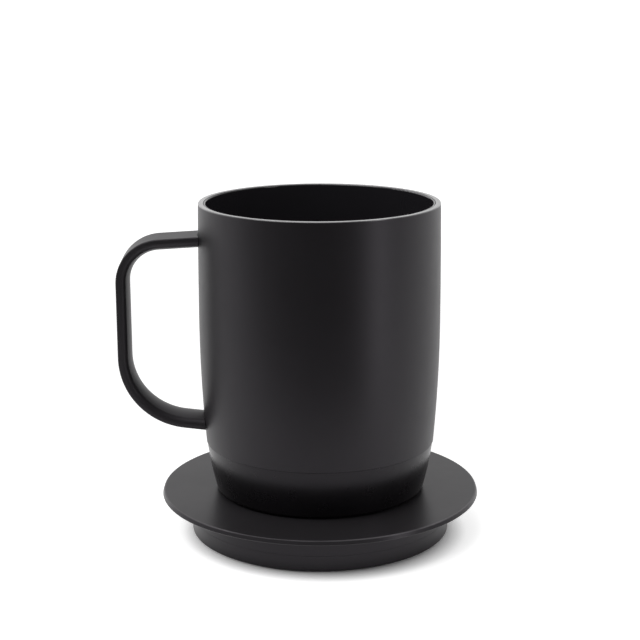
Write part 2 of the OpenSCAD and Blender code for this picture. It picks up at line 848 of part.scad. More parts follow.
module mounting_ring() {
    color(steel) difference() {
        rotate_extrude() difference() {
            mug_region(shell_wall + touch, seam_z, spigot_z + ring_flange_t);
            translate([0, seam_z - slack]) square([bore_r, spigot_h + slack]);
            translate([0, spigot_z - slack]) square([ring_flange_in_r, ring_flange_t + 2 * slack]);
        }
        around(housing_screw_r, housing_turns)
            disc(screw_d / 2 + touch, spigot_z - slack, spigot_z + ring_flange_t + slack);
    }
}

module base_housing() {
    shoulder_z = band_top_z - shoulder_t;
    rib_h = screw_l - screw_seat_t + slack;
    color(black_plastic) difference() {
        union() {
            rotate_extrude() difference() {
                union() {
                    band_outline();
                    translate([spigot_in_r, shoulder_z]) square([spigot_wall, spigot_z - shoulder_z]);
                }
                band_region(base_wall, seat_z, shoulder_z);
                translate([0, shoulder_z - slack]) square([spigot_in_r, spigot_z - shoulder_z + 2 * slack]);
                translate([groove_r, groove_z - groove_h / 2]) square([ring_wall + seal_d, groove_h]);
            }
            around(housing_screw_r, housing_turns) disc(boss_r, spigot_z - housing_boss_h, spigot_z);
            around(cover_screw_r, cover_turns) disc(boss_r, cover_boss_z, cover_boss_z + rib_h);
            intersection() {
                around(cover_screw_r, cover_turns)
                    translate([0, -rib_t / 2, cover_boss_z]) cube([base_d, rib_t, rib_h]);
                rotate_extrude() band_region(base_wall / 2, seat_z, band_top_z);
            }
        }
        around(housing_screw_r, housing_turns)
            disc(screw_hole_r, spigot_z - housing_boss_h - slack, spigot_z + slack);
        around(cover_screw_r, cover_turns)
            disc(screw_d / 2 + touch, cover_boss_z - slack, cover_seat_z + screw_l + fit);
    }
}

module base_seal() {
    color(silicone) rotate_extrude() translate([seal_r, groove_z]) circle(seal_d / 2);
}

module housing_screws() {
    color(steel) around(housing_screw_r, housing_turns) screw(spigot_z - housing_boss_h);
}

module base_cover() {
    color(black_plastic) difference() {
        union() {
            disc(cover_r, cover_z, cover_top);
            around(cover_screw_r, cover_turns) disc(boss_r, cover_top - slack, cover_boss_z);
            around(board_post_r, quarter_turns) board_post(cover_top - slack, board_z);
        }
        ring(foot_in_r - fit, foot_r + fit, cover_z - slack, cover_z + foot_groove);
        around(cover_screw_r, cover_turns) {
            disc(head_hole_r, cover_z - slack, cover_seat_z);
            disc(screw_hole_r, cover_z - slack, cover_boss_z + slack);
        }
        disc(contact_d / 2 + touch, cover_z - slack, cover_z + contact_t);
        ring(ring_in_r - touch, ring_out_r + touch, cover_z - slack, cover_z + contact_t);
        for (x = [0, -pin_pitch]) translate([x, 0, 0])
            disc(stem_r + touch, cover_z - slack, cover_top + slack);
        translate([0, -button_offset, 0])
            disc(button_d / 2 + fit, cover_z - slack, cover_top + slack);
    }
}

module cover_screws() {
    color(steel) around(cover_screw_r, cover_turns) screw(cover_seat_z);
}

module foot_ring() {
    color(silicone) rotate_extrude() polygon([
        [foot_in_r + edge_bevel, seat_z], [foot_r - edge_bevel, seat_z],
        [foot_r, seat_z + edge_bevel], [foot_r, cover_z + foot_groove],
        [foot_in_r, cover_z + foot_groove], [foot_in_r, seat_z + edge_bevel]]);
}

module contact_disc() {
    color(gold) {
        disc(contact_d / 2, cover_z, cover_z + contact_t);
        disc(stem_r, cover_z, board_z);
    }
}

module contact_ring() {
    color(gold) {
        ring(ring_in_r, ring_out_r, cover_z, cover_z + contact_t);
        translate([-pin_pitch, 0, 0]) disc(stem_r, cover_z, board_z);
    }
}

module power_button() {
    r = button_d / 2;
    low = cover_z - button_proud;
    color(silicone) translate([0, -button_offset, 0]) rotate_extrude() polygon([
        [0, low], [r - edge_bevel, low], [r, low + edge_bevel], [r, cover_top + touch],
        [r + button_flange, cover_top + touch], [r + button_flange, cover_top + button_flange_t],
        [button_stem_r, cover_top + button_flange_t], [button_stem_r, plunger_z], [0, plunger_z]]);
}

module switch_plunger() {
    color(foam_white) translate([0, -button_offset, 0])
        disc(plunger_d / 2, plunger_z, switch_z + plunger_in);
}

module tact_switch() {
    color(chip_black) translate([0, -button_offset, 0]) difference() {
        block(switch_w, switch_w, switch_z, board_z);
        disc(plunger_d / 2 + fit, switch_z - slack, switch_z + plunger_room);
    }
}

module main_board() {
    color(board_green) difference() {
        disc(board_r, board_z, board_top);
        around(board_post_r, quarter_turns) disc(stake_r + fit, board_z - slack, board_top + slack);
    }
}

module board_parts() {
    color(chip_black) {
        block(controller_w, controller_w, board_top, board_top + part_h);
        for (x = [-inductor_x, inductor_x]) translate([x, inductor_w / 2, 0])
            block(inductor_w, inductor_w, board_top, board_top + coil_h);
        for (i = [-3 : 3]) translate([i * row_pitch, -controller_w, 0])
            block(cap_w, cap_l, board_top, board_top + part_h);
    }
}

// Battery

module battery_tray() {
    w = tray_x - tray_corner_r;
    l = tray_y - tray_corner_r;
    cradle_y = cell_l / 2 - slack;
    color(tray_grey) difference() {
        union() {
            difference() {
                translate([0, 0, tray_z]) linear_extrude(insulation_z - tray_z) polygon(concat(
                    arc([w, -l], tray_corner_r, -90, 0), arc([w, l], tray_corner_r, 0, 90),
                    arc([-w, l], tray_corner_r, 90, 180), arc([-w, -l], tray_corner_r, 180, 270)));
                block(2 * (tray_x - tray_wall), 2 * (tray_y - tray_wall),
                    tray_floor_z, insulation_z + slack);
            }
            block(2 * tray_x - tray_wall, 2 * cradle_y, tray_z + tray_wall / 2, tray_floor_z + cradle_h);
            for (x = [-cell_x, cell_x], y = [-leg_y, leg_y])
                translate([x, y, 0]) disc(leg_r, board_top, tray_z + tray_wall / 2);
        }
        for (x = [-cell_x, cell_x]) {
            translate([x, 0, cell_z]) rotate([90, 0, 0])
                cylinder(d = cell_d + 2 * fit, h = cell_l, center = true);
            translate([x - tab_w / 2 - fit, cell_l / 2 - fit, tray_z - slack])
                cube([tab_w + 2 * fit, tab_t + 2 * fit, tray_wall + 2 * slack]);
        }
    }
}

module battery_cells() {
    r = cell_d / 2;
    color(cell_wrap) for (side = [-1, 1])
        translate([side * cell_x, 0, cell_z]) rotate([-90 * side, 0, 0])
            rotate_extrude() polygon([
                [0, -cell_l / 2], [r - cell_edge, -cell_l / 2], [r, cell_edge - cell_l / 2],
                [r, cell_l / 2 - terminal_h - cell_edge], [r - cell_edge, cell_l / 2 - terminal_h],
                [terminal_r, cell_l / 2 - terminal_h], [terminal_r, cell_l / 2], [0, cell_l / 2]]);
}

module battery_tabs() {
    color(steel) {
        translate([0, -(cell_l + tab_t) / 2, 0])
            block(2 * cell_x + tab_w, tab_t, cell_z - tab_w / 2, cell_z + tab_w / 2);
        for (x = [-cell_x, cell_x]) translate([x, (cell_l + tab_t) / 2, 0])
            block(tab_w, tab_t, board_top, cell_z + tab_w / 2);
    }
}

// Heater

module insulation_pad() {
    color(foam_white) difference() {
        disc(heater_r, insulation_z, film_z);
        translate([tail_x - fit, -tail_w / 2 - fit, insulation_z - slack])
            cube([film_t + 2 * fit, tail_w + 2 * fit, insulation_t + 2 * slack]);
        translate([0, thermistor_y, 0])
            disc(thermistor_d / 2 + fit, insulation_z - slack, film_z + slack);
    }
}

module heater_film() {
    color(polyimide) difference() {
        union() {
            disc(heater_r - slack, film_z, spreader_z);
            translate([tail_x, -tail_w / 2, board_top]) cube([film_t, tail_w, spreader_z - board_top]);
        }
        translate([0, thermistor_y, 0])
            disc(thermistor_d / 2 + fit, film_z - slack, spreader_z + slack);
    }
}

module heat_spreader() {
    color(aluminium) disc(heater_r, spreader_z, liner_z);
}

module thermistor() {
    color(chip_black) translate([0, thermistor_y, 0]) disc(thermistor_d / 2, insulation_z, spreader_z);
}

coaster_top();
coaster_base();
coaster_foot_pad();
coaster_screws();
contact_block();
pin_barrels();
pin_spring_inner();
pin_spring_outer();
contact_pin_inner();
contact_pin_outer();
charge_board();
charge_board_parts();
usb_shell();
usb_tongue();
mug_shell();
inner_liner();
handle();
mounting_ring();
base_housing();
base_seal();
housing_screws();
base_cover();
cover_screws();
foot_ring();
contact_disc();
contact_ring();
power_button();
switch_plunger();
tact_switch();
main_board();
board_parts();
battery_tray();
battery_cells();
battery_tabs();
insulation_pad();
heater_film();
heat_spreader();
thermistor();
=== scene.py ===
"""Looks of a self-heating mug on its charging coaster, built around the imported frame."""

import json
import math

import bpy
from mathutils import Euler, Matrix, Vector


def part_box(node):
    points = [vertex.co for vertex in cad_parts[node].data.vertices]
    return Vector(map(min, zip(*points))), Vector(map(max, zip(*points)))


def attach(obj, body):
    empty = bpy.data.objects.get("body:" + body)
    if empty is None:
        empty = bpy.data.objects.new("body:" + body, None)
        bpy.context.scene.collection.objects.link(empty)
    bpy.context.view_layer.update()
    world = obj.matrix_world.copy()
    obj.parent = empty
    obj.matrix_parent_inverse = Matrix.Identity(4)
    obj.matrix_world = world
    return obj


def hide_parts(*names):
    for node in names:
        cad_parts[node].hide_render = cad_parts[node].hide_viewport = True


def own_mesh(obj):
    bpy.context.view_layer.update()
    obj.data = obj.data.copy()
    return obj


MM = 0.001
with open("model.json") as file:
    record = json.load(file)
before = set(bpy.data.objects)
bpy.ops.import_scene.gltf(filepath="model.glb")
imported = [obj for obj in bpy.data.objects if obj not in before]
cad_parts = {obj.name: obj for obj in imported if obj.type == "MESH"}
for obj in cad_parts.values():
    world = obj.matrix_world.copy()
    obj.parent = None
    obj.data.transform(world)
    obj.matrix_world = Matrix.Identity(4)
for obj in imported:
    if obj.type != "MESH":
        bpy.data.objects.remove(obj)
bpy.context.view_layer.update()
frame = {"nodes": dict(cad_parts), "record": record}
nodes = frame["nodes"]


# Camera, from the photograph's perspective

CAMERA_BACK = 524.72 * MM
CAMERA_RIGHT = 0.10 * MM
CAMERA_HEIGHT = 201.49 * MM
CAMERA_TILT = math.radians(13.587)
CAMERA_ORBIT = math.radians(-1.52)
CAMERA_ROLL = math.radians(-0.14)
CAMERA_NEAR = 10 * MM
SENSOR = 36.0
LENS = 87.74


def add_camera():
    data = bpy.data.cameras.new("camera")
    data.sensor_width = SENSOR
    data.lens = LENS
    data.clip_start = CAMERA_NEAR
    camera = bpy.data.objects.new("camera", data)
    place = Vector((CAMERA_RIGHT, -CAMERA_BACK, CAMERA_HEIGHT))
    camera.location = Matrix.Rotation(CAMERA_ORBIT, 3, "Z") @ place
    level = Euler((math.pi / 2 - CAMERA_TILT, 0, CAMERA_ORBIT)).to_matrix()
    camera.rotation_euler = (level @ Matrix.Rotation(CAMERA_ROLL, 3, "Z")).to_euler()
    bpy.context.scene.collection.objects.link(camera)
    bpy.context.scene.camera = camera


add_camera()


# Node helpers

# Sockets of a Mix node, whose names repeat for each type of data
MIX_FACTOR = 0
MIX_VALUES = (2, 3)
MIX_VALUE_RESULT = 0
MIX_COLOURS = (6, 7)
MIX_COLOUR_RESULT = 2


def new_material(name):
    material = bpy.data.materials.new(name)
    material.use_nodes = True
    tree = material.node_tree
    return material, tree, tree.nodes["Principled BSDF"]


def add_node(tree, kind, **inputs):
    node = tree.nodes.new(kind)
    for key, value in inputs.items():
        node.inputs[key.replace("_", " ")].default_value = value
    return node


def feed(tree, socket, value):
    """Give an input a value, which is another socket, a number or a colour."""
    if isinstance(value, (int, float)):
        socket.default_value = value
    elif isinstance(value, tuple):
        socket.default_value = (*value, 1)
    else:
        tree.links.new(value, socket)


def math_node(tree, operation, first, second):
    """Math node on two values, each a socket or a number."""
    node = tree.nodes.new("ShaderNodeMath")
    node.operation = operation
    feed(tree, node.inputs[0], first)
    feed(tree, node.inputs[1], second)
    return node.outputs[0]


def object_coordinates(tree):
    return tree.nodes.new("ShaderNodeTexCoord").outputs["Object"]


def stretched(tree, scale):
    """Object coordinates, multiplied along each axis."""
    node = add_node(tree, "ShaderNodeMapping", Scale=scale)
    tree.links.new(object_coordinates(tree), node.inputs["Vector"])
    return node.outputs["Vector"]


def axes(tree, vector=None):
    """X, Y and Z of a vector, or else of the object coordinates."""
    node = tree.nodes.new("ShaderNodeSeparateXYZ")
    tree.links.new(vector or object_coordinates(tree), node.inputs["Vector"])
    return node.outputs


def axis_distance(tree):
    """Distance from the mug's axis."""
    node = tree.nodes.new("ShaderNodeVectorMath")
    node.operation = "LENGTH"
    tree.links.new(stretched(tree, (1, 1, 0)), node.inputs[0])
    return node.outputs["Value"]


def noise(tree, grain, detail=2.0, roughness=0.5, vector=None):
    """Noise whose blobs are about grain metres across."""
    node = add_node(tree, "ShaderNodeTexNoise", Scale=1 / grain, Detail=detail, Roughness=roughness)
    tree.links.new(vector or object_coordinates(tree), node.inputs["Vector"])
    return node.outputs["Fac"]


def remap(tree, value, low, high, start=0.0, stop=1.0):
    node = add_node(tree, "ShaderNodeMapRange")
    node.inputs["From Min"].default_value = start
    node.inputs["From Max"].default_value = stop
    node.inputs["To Min"].default_value = low
    node.inputs["To Max"].default_value = high
    tree.links.new(value, node.inputs["Value"])
    return node.outputs["Result"]


def mix_value(tree, factor, first, second):
    node = tree.nodes.new("ShaderNodeMix")
    node.data_type = "FLOAT"
    feed(tree, node.inputs[MIX_VALUES[0]], first)
    feed(tree, node.inputs[MIX_VALUES[1]], second)
    tree.links.new(factor, node.inputs[MIX_FACTOR])
    return node.outputs[MIX_VALUE_RESULT]


def mix_colour(tree, factor, first, second):
    node = tree.nodes.new("ShaderNodeMix")
    node.data_type = "RGBA"
    feed(tree, node.inputs[MIX_COLOURS[0]], first)
    feed(tree, node.inputs[MIX_COLOURS[1]], second)
    tree.links.new(factor, node.inputs[MIX_FACTOR])
    return node.outputs[MIX_COLOUR_RESULT]


BAND_BLUR = 0.06


def bands(tree, value, period, cover):
    """Mask of soft-edged bands along a value: cover of each period is 1."""
    fold = math_node(tree, "PINGPONG", value, period / 2)
    edge = period / 2 * (1 - cover)
    return remap(tree, fold, 0.0, 1.0, edge - BAND_BLUR * period, edge + BAND_BLUR * period)


def bump(tree, shader, height, depth):
    node = add_node(tree, "ShaderNodeBump", Distance=depth)
    tree.links.new(height, node.inputs["Height"])
    tree.links.new(node.outputs["Normal"], shader.inputs["Normal"])


# Kinds of material

NEUTRAL = (1, 1, 1)
COLOUR_DRIFT = 18 * MM
GLOSS_DRIFT = 0.03
GLOSS_PATCHES = 3


def moulded(name, dark, light, rough, grain, depth, drift=COLOUR_DRIFT, gloss_drift=GLOSS_DRIFT,
            specular=0.5, tint=NEUTRAL):
    """Coating, moulding or rubber: slight colour drift, uneven gloss and a fine grain."""
    material, tree, shader = new_material(name)
    tree.links.new(mix_colour(tree, noise(tree, drift), dark, light), shader.inputs["Base Color"])
    patches = noise(tree, drift / GLOSS_PATCHES, detail=4)
    gloss = remap(tree, patches, rough - gloss_drift, rough + gloss_drift)
    tree.links.new(gloss, shader.inputs["Roughness"])
    shader.inputs["Specular IOR Level"].default_value = specular
    shader.inputs["Specular Tint"].default_value = (*tint, 1)
    bump(tree, shader, noise(tree, grain, detail=3, roughness=0.6), depth)
    return material


GLAZE_IOR = 1.6


def glazed_above(material, start, stop, gloss):
    """Give a material a clear glaze that sets in between two heights, as on a fused lip."""
    tree = material.node_tree
    shader = tree.nodes["Principled BSDF"]
    glaze = remap(tree, axes(tree)["Z"], 0.0, 1.0, start, stop)
    tree.links.new(glaze, shader.inputs["Coat Weight"])
    shader.inputs["Coat Roughness"].default_value = gloss
    shader.inputs["Coat IOR"].default_value = GLAZE_IOR
    return material


# Reach and patchiness of a painted highlight along an upper edge
HIGHLIGHT_INWARD = (0.50 * MM, 0.20 * MM)
HIGHLIGHT_DOWN = (0.30 * MM, 0.15 * MM)
HIGHLIGHT_NOISE = (0.40, 0.62)
HIGHLIGHT_LEAST = 0.3
HIGHLIGHT_PATCH = 26 * MM


def painted_edge_highlight(material, reach, height, highlight_colour):
    """Paint a highlight as a paler colour on an upper edge about the mug's axis, stronger in some places.
    """
    tree = material.node_tree
    socket = tree.nodes["Principled BSDF"].inputs["Base Color"]
    colour = socket.links[0].from_socket
    outer = remap(tree, axis_distance(tree), 0.0, 1.0, reach - HIGHLIGHT_INWARD[0], reach - HIGHLIGHT_INWARD[1])
    upper = remap(tree, axes(tree)["Z"], 0.0, 1.0, height - HIGHLIGHT_DOWN[0], height - HIGHLIGHT_DOWN[1])
    edge = math_node(tree, "MULTIPLY", outer, upper)
    patches = remap(tree, noise(tree, HIGHLIGHT_PATCH), HIGHLIGHT_LEAST, 1.0, *HIGHLIGHT_NOISE)
    highlight_mask = math_node(tree, "MULTIPLY", edge, patches)
    tree.links.new(mix_colour(tree, highlight_mask, colour, highlight_colour), socket)


METAL_MARK = 0.4 * MM
MARK_GLOSSIER = 0.06
MARK_DULLER = 0.08


def metal(name, dark, light, rough, stretch, depth):
    """Bare metal with marks drawn out along one direction."""
    material, tree, shader = new_material(name)
    marks = noise(tree, METAL_MARK, detail=4, roughness=0.6, vector=stretched(tree, stretch))
    tree.links.new(mix_colour(tree, marks, dark, light), shader.inputs["Base Color"])
    gloss = remap(tree, marks, rough - MARK_GLOSSIER, rough + MARK_DULLER)
    tree.links.new(gloss, shader.inputs["Roughness"])
    shader.inputs["Metallic"].default_value = 1.0
    bump(tree, shader, marks, depth)
    return material


TRACK_WEAR = 0.7
TRACK_WORN = 0.3 * MM
TRACK_FADED = 0.8 * MM
TRACK_GRAIN = 0.5 * MM


def turned(name, dark, light, rough, pitch, depth, track=0.0):
    """Metal turned about the mug's axis, worn bright at one distance from it."""
    material, tree, shader = new_material(name)
    far = axis_distance(tree)
    vector = tree.nodes.new("ShaderNodeCombineXYZ")
    tree.links.new(far, vector.inputs["X"])
    rings = noise(tree, pitch, detail=3, roughness=0.6, vector=vector.outputs["Vector"])
    off = math_node(tree, "ABSOLUTE", math_node(tree, "SUBTRACT", far, track), 0.0)
    near = remap(tree, off, TRACK_WEAR, 0.0, TRACK_WORN, TRACK_FADED)
    worn = math_node(tree, "MULTIPLY", near, noise(tree, TRACK_GRAIN, detail=4))
    tone = math_node(tree, "MINIMUM", math_node(tree, "ADD", rings, worn), 1.0)
    tree.links.new(mix_colour(tree, tone, dark, light), shader.inputs["Base Color"])
    gloss = remap(tree, tone, rough + MARK_DULLER, rough - MARK_GLOSSIER)
    tree.links.new(gloss, shader.inputs["Roughness"])
    shader.inputs["Metallic"].default_value = 1.0
    bump(tree, shader, rings, depth)
    return material


FIELD_SIZE = 6 * MM
FIELD_JITTER = 0.8
FIELD_TURNED = 0.5
FIELD_BARE = 0.35
COPPER_PITCH = 0.9 * MM
COPPER_COVER = 0.45
COPPER_HEIGHT = 0.03 * MM
MASK_DRIFT = 2.5 * MM
MASK_GLOSS_PATCH = 3 * MM
MASK_ROUGH = (0.24, 0.36)


def board(name, dark, light, trace):
    """Solder mask with raised copper tracks, which run along X in some fields and along Y in others."""
    material, tree, shader = new_material(name)
    place = axes(tree)
    field = add_node(tree, "ShaderNodeTexVoronoi", Scale=1 / FIELD_SIZE, Randomness=FIELD_JITTER)
    field.distance = "CHEBYCHEV"
    tree.links.new(stretched(tree, (1, 1, 0)), field.inputs["Vector"])
    pick = tree.nodes.new("ShaderNodeSeparateColor")
    tree.links.new(field.outputs["Color"], pick.inputs["Color"])
    across = bands(tree, place["X"], COPPER_PITCH, COPPER_COVER)
    along = bands(tree, place["Y"], COPPER_PITCH, COPPER_COVER)
    turn = math_node(tree, "GREATER_THAN", pick.outputs["Red"], FIELD_TURNED)
    used = math_node(tree, "GREATER_THAN", pick.outputs["Green"], FIELD_BARE)
    tracks = math_node(tree, "MULTIPLY", mix_value(tree, turn, across, along), used)
    mask = mix_colour(tree, noise(tree, MASK_DRIFT), dark, light)
    tree.links.new(mix_colour(tree, tracks, mask, trace), shader.inputs["Base Color"])
    gloss = remap(tree, noise(tree, MASK_GLOSS_PATCH, detail=3), *MASK_ROUGH)
    tree.links.new(gloss, shader.inputs["Roughness"])
    bump(tree, shader, tracks, COPPER_HEIGHT)
    return material


HEATER_PITCH = 2.4 * MM
HEATER_COVER = 0.7
HEATER_HEIGHT = 0.02 * MM
FILM_DRIFT = 8 * MM
FILM_GLOSS_PATCH = 3 * MM
FILM_ROUGH = (0.16, 0.28)


def film(name, dark, light, track):
    """Amber film over a resistance track in rings about the mug's axis."""
    material, tree, shader = new_material(name)
    turns = bands(tree, axis_distance(tree), HEATER_PITCH, HEATER_COVER)
    amber = mix_colour(tree, noise(tree, FILM_DRIFT), dark, light)
    tree.links.new(mix_colour(tree, turns, amber, track), shader.inputs["Base Color"])
    gloss = remap(tree, noise(tree, FILM_GLOSS_PATCH, detail=3), *FILM_ROUGH)
    tree.links.new(gloss, shader.inputs["Roughness"])
    bump(tree, shader, turns, HEATER_HEIGHT)
    return material


WRAP_EDGE = 0.05 * MM
WRAP_DRIFT = 9 * MM
WRAP_GLOSS_PATCH = 4 * MM
WRAP_ROUGH = (0.22, 0.32)
WRAP_GRAIN = 0.8 * MM
WRAP_RELIEF = 0.006 * MM


def wrapped_can(name, dark, light, steel, end):
    """Cell in a shrink wrap along Y, bare beyond end on both sides."""
    material, tree, shader = new_material(name)
    out = math_node(tree, "ABSOLUTE", axes(tree)["Y"], 0.0)
    bare = remap(tree, out, 0.0, 1.0, end - WRAP_EDGE, end + WRAP_EDGE)
    wrap = mix_colour(tree, noise(tree, WRAP_DRIFT), dark, light)
    tree.links.new(mix_colour(tree, bare, wrap, steel), shader.inputs["Base Color"])
    tree.links.new(bare, shader.inputs["Metallic"])
    gloss = remap(tree, noise(tree, WRAP_GLOSS_PATCH, detail=4), *WRAP_ROUGH)
    tree.links.new(gloss, shader.inputs["Roughness"])
    bump(tree, shader, noise(tree, WRAP_GRAIN, detail=3, roughness=0.6), WRAP_RELIEF)
    return material


# Materials of the record's slots

TINT = (0.97, 0.91, 1.0)
CELL_END = 1.2 * MM
pin_low, pin_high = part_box("contact_pin_outer")
pin_track = (pin_low.x + pin_high.x) / 2
wrap_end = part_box("battery_cells")[1].y - CELL_END

MATERIALS = {
    "liner_enamel": moulded(
        "liner_enamel", dark=(0.0165, 0.0155, 0.0180), light=(0.0200, 0.0188, 0.0216),
        rough=0.10, gloss_drift=0.02, grain=2.5 * MM, depth=0.002 * MM),
    "black_plastic": moulded(
        "black_plastic", dark=(0.0050, 0.0044, 0.0051), light=(0.0064, 0.0057, 0.0065),
        rough=0.28, grain=0.80 * MM, depth=0.0015 * MM, specular=0.25, tint=TINT),
    "coaster_plastic": moulded(
        "coaster_plastic", dark=(0.0195, 0.0181, 0.0199), light=(0.0225, 0.0209, 0.0229),
        rough=0.32, grain=0.25 * MM, depth=0.0018 * MM, specular=0.22, tint=TINT),
    "silicone": moulded(
        "silicone", dark=(0.022, 0.022, 0.024), light=(0.030, 0.030, 0.032),
        rough=0.66, gloss_drift=0.05, grain=0.20 * MM, depth=0.008 * MM),
    "bare_steel": metal(
        "bare_steel", dark=(0.50, 0.50, 0.51), light=(0.66, 0.66, 0.67),
        rough=0.28, stretch=(1, 1, 0.05), depth=0.002 * MM),
    "gold_contact": turned(
        "gold_contact", dark=(0.66, 0.45, 0.16), light=(0.84, 0.61, 0.27),
        rough=0.24, pitch=0.12 * MM, depth=0.003 * MM, track=pin_track),
    "barrel_brass": metal(
        "barrel_brass", dark=(0.55, 0.39, 0.15), light=(0.67, 0.49, 0.20),
        rough=0.30, stretch=(0.05, 0.05, 1), depth=0.002 * MM),
    "circuit_board": board(
        "circuit_board", dark=(0.010, 0.075, 0.035), light=(0.014, 0.095, 0.045),
        trace=(0.032, 0.165, 0.075)),
    "chip_black": moulded(
        "chip_black", dark=(0.012, 0.012, 0.013), light=(0.019, 0.019, 0.020),
        rough=0.52, grain=0.15 * MM, depth=0.006 * MM),
    "tray_plastic": moulded(
        "tray_plastic", dark=(0.080, 0.080, 0.090), light=(0.100, 0.100, 0.110),
        rough=0.48, grain=0.30 * MM, depth=0.006 * MM),
    "cell_can": wrapped_can(
        "cell_can", dark=(0.040, 0.170, 0.390), light=(0.055, 0.215, 0.470),
        steel=(0.60, 0.60, 0.61), end=wrap_end),
    "insulation_felt": moulded(
        "insulation_felt", dark=(0.70, 0.68, 0.62), light=(0.84, 0.82, 0.76),
        rough=0.90, grain=0.35 * MM, depth=0.080 * MM, drift=1.5 * MM),
    "heater_film": film(
        "heater_film", dark=(0.50, 0.21, 0.032), light=(0.60, 0.27, 0.050),
        track=(0.36, 0.135, 0.030)),
    "spreader_aluminium": turned(
        "spreader_aluminium", dark=(0.58, 0.59, 0.60), light=(0.77, 0.78, 0.79),
        rough=0.32, pitch=0.25 * MM, depth=0.006 * MM),
    "plunger_plastic": moulded(
        "plunger_plastic", dark=(0.68, 0.67, 0.63), light=(0.78, 0.77, 0.73),
        rough=0.45, grain=0.25 * MM, depth=0.004 * MM),
}


# Flange, with a painted highlight, a paler colour, along the edge where its flat deck begins to lean out

FLANGE_LEAN = 0.55 * MM
deck_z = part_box("foot_ring")[0].z
deck_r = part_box("coaster_top")[1].x - FLANGE_LEAN
painted_edge_highlight(MATERIALS["coaster_plastic"], deck_r, deck_z, highlight_colour=(0.095, 0.090, 0.096))


# Coats of the mug and its handle, and the pins' gold

COAT_ROUGH = 0.42
COAT_GRAIN = 0.30 * MM
COAT_RELIEF = 0.006 * MM
GLAZE_START = 0.40 * MM
GLAZE_FULL = 0.15 * MM
rim_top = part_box("mug_shell")[1].z
lip_in_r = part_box("inner_liner")[1].x

lipped_coat = moulded(
    "lipped_coat", dark=(0.0078, 0.0070, 0.0079), light=(0.0098, 0.0088, 0.0100),
    rough=COAT_ROUGH, grain=COAT_GRAIN, depth=COAT_RELIEF, specular=0.33, tint=TINT)
glazed_above(lipped_coat, rim_top - GLAZE_START, rim_top - GLAZE_FULL, gloss=0.14)
# Painted highlight along the lip's inner edge: a paler colour where light catches the lip.
painted_edge_highlight(lipped_coat, lip_in_r, rim_top, highlight_colour=(0.20, 0.195, 0.202))

# The handle wears the body's coat, painted over twice as light: painted light on the handle.
lit_handle_coat = moulded(
    "lit_handle_coat", dark=(0.0205, 0.0190, 0.0207), light=(0.0235, 0.0217, 0.0237),
    rough=COAT_ROUGH, grain=COAT_GRAIN, depth=COAT_RELIEF, specular=0.30, tint=TINT)

pin_gold = metal(
    "pin_gold", dark=(0.70, 0.48, 0.18), light=(0.84, 0.61, 0.27),
    rough=0.22, stretch=(1, 1, 0.3), depth=0.002 * MM)

OWN_MATERIALS = {
    "mug_shell": lipped_coat,
    "handle": lit_handle_coat,
    "contact_pin_inner": pin_gold,
    "contact_pin_outer": pin_gold,
}

for row in frame["record"]["subparts"]:
    mesh = nodes[row["node"]].data
    mesh.materials.clear()
    if row["node"] in OWN_MATERIALS:
        mesh.materials.append(OWN_MATERIALS[row["node"]])
    else:
        mesh.materials.append(MATERIALS[row["material_slot"]])


# Springs under the contact pins

SPRING_WIRE = 0.3 * MM
SPRING_TURNS = 5
SPRING_END = 0.1
STEPS_PER_TURN = 24
SPRING_STEPS = STEPS_PER_TURN * SPRING_TURNS
WIRE_SIDES = 10


def spring_points(middle, low_z, coil_r, rise):
    """Rings of points along the wire, flat over the first and last part of the turns."""
    points = []
    for step in range(SPRING_STEPS + 1):
        part = step / SPRING_STEPS
        turn = 2 * math.pi * SPRING_TURNS * part
        climb = min(max((part - SPRING_END) / (1 - 2 * SPRING_END), 0), 1)
        height = low_z + SPRING_WIRE / 2 + rise * climb
        for side in range(WIRE_SIDES):
            angle = 2 * math.pi * side / WIRE_SIDES
            out = coil_r + SPRING_WIRE / 2 * math.cos(angle)
            up = SPRING_WIRE / 2 * math.sin(angle)
            points.append((middle.x + out * math.cos(turn), middle.y + out * math.sin(turn), height + up))
    return points


def spring_faces():
    """Faces between the wire's rings, and one at each end of the wire."""
    faces = [tuple(range(WIRE_SIDES))]
    for step in range(SPRING_STEPS):
        for side in range(WIRE_SIDES):
            first = step * WIRE_SIDES + side
            second = step * WIRE_SIDES + (side + 1) % WIRE_SIDES
            faces.append((first, first + WIRE_SIDES, second + WIRE_SIDES, second))
    faces.append(tuple(SPRING_STEPS * WIRE_SIDES + side for side in reversed(range(WIRE_SIDES))))
    return faces


def add_spring(name, node):
    """Compression spring with flat end turns."""
    low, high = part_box(node)
    middle = (low + high) / 2
    coil_r = (high.x - low.x - SPRING_WIRE) / 2
    length = high.z - low.z
    mesh = bpy.data.meshes.new(name)
    mesh.from_pydata(spring_points(middle, low.z, coil_r, length - SPRING_WIRE), [], spring_faces())
    mesh.shade_smooth()
    mesh.materials.append(MATERIALS["bare_steel"])
    spring = bpy.data.objects.new(name, mesh)
    bpy.context.scene.collection.objects.link(spring)
    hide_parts(node)
    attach(spring, "coaster")
    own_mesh(spring)


add_spring("wound_spring_inner", "pin_spring_inner")
add_spring("wound_spring_outer", "pin_spring_outer")


# Table top, seen as white around the contact shadow

FLOOR_FRONT = 0.155
FLOOR_SIDE = 6.0
FLOOR_BACK = 8.0
FLOOR_WHITE = 0.98
FLOOR_ROUGH = 0.9
LIFT_CENTRE = (1.5 * MM, -3.5 * MM, 0)
LIFT_FOOT = 0.58
LIFT_NEAR = 0.25
LIFT_FAR = 0.55
FOOT_RANGE = (41.5 * MM, 50 * MM)
NEAR_RANGE = (62 * MM, 110 * MM)
FAR_RANGE = (0.25, 1.2)


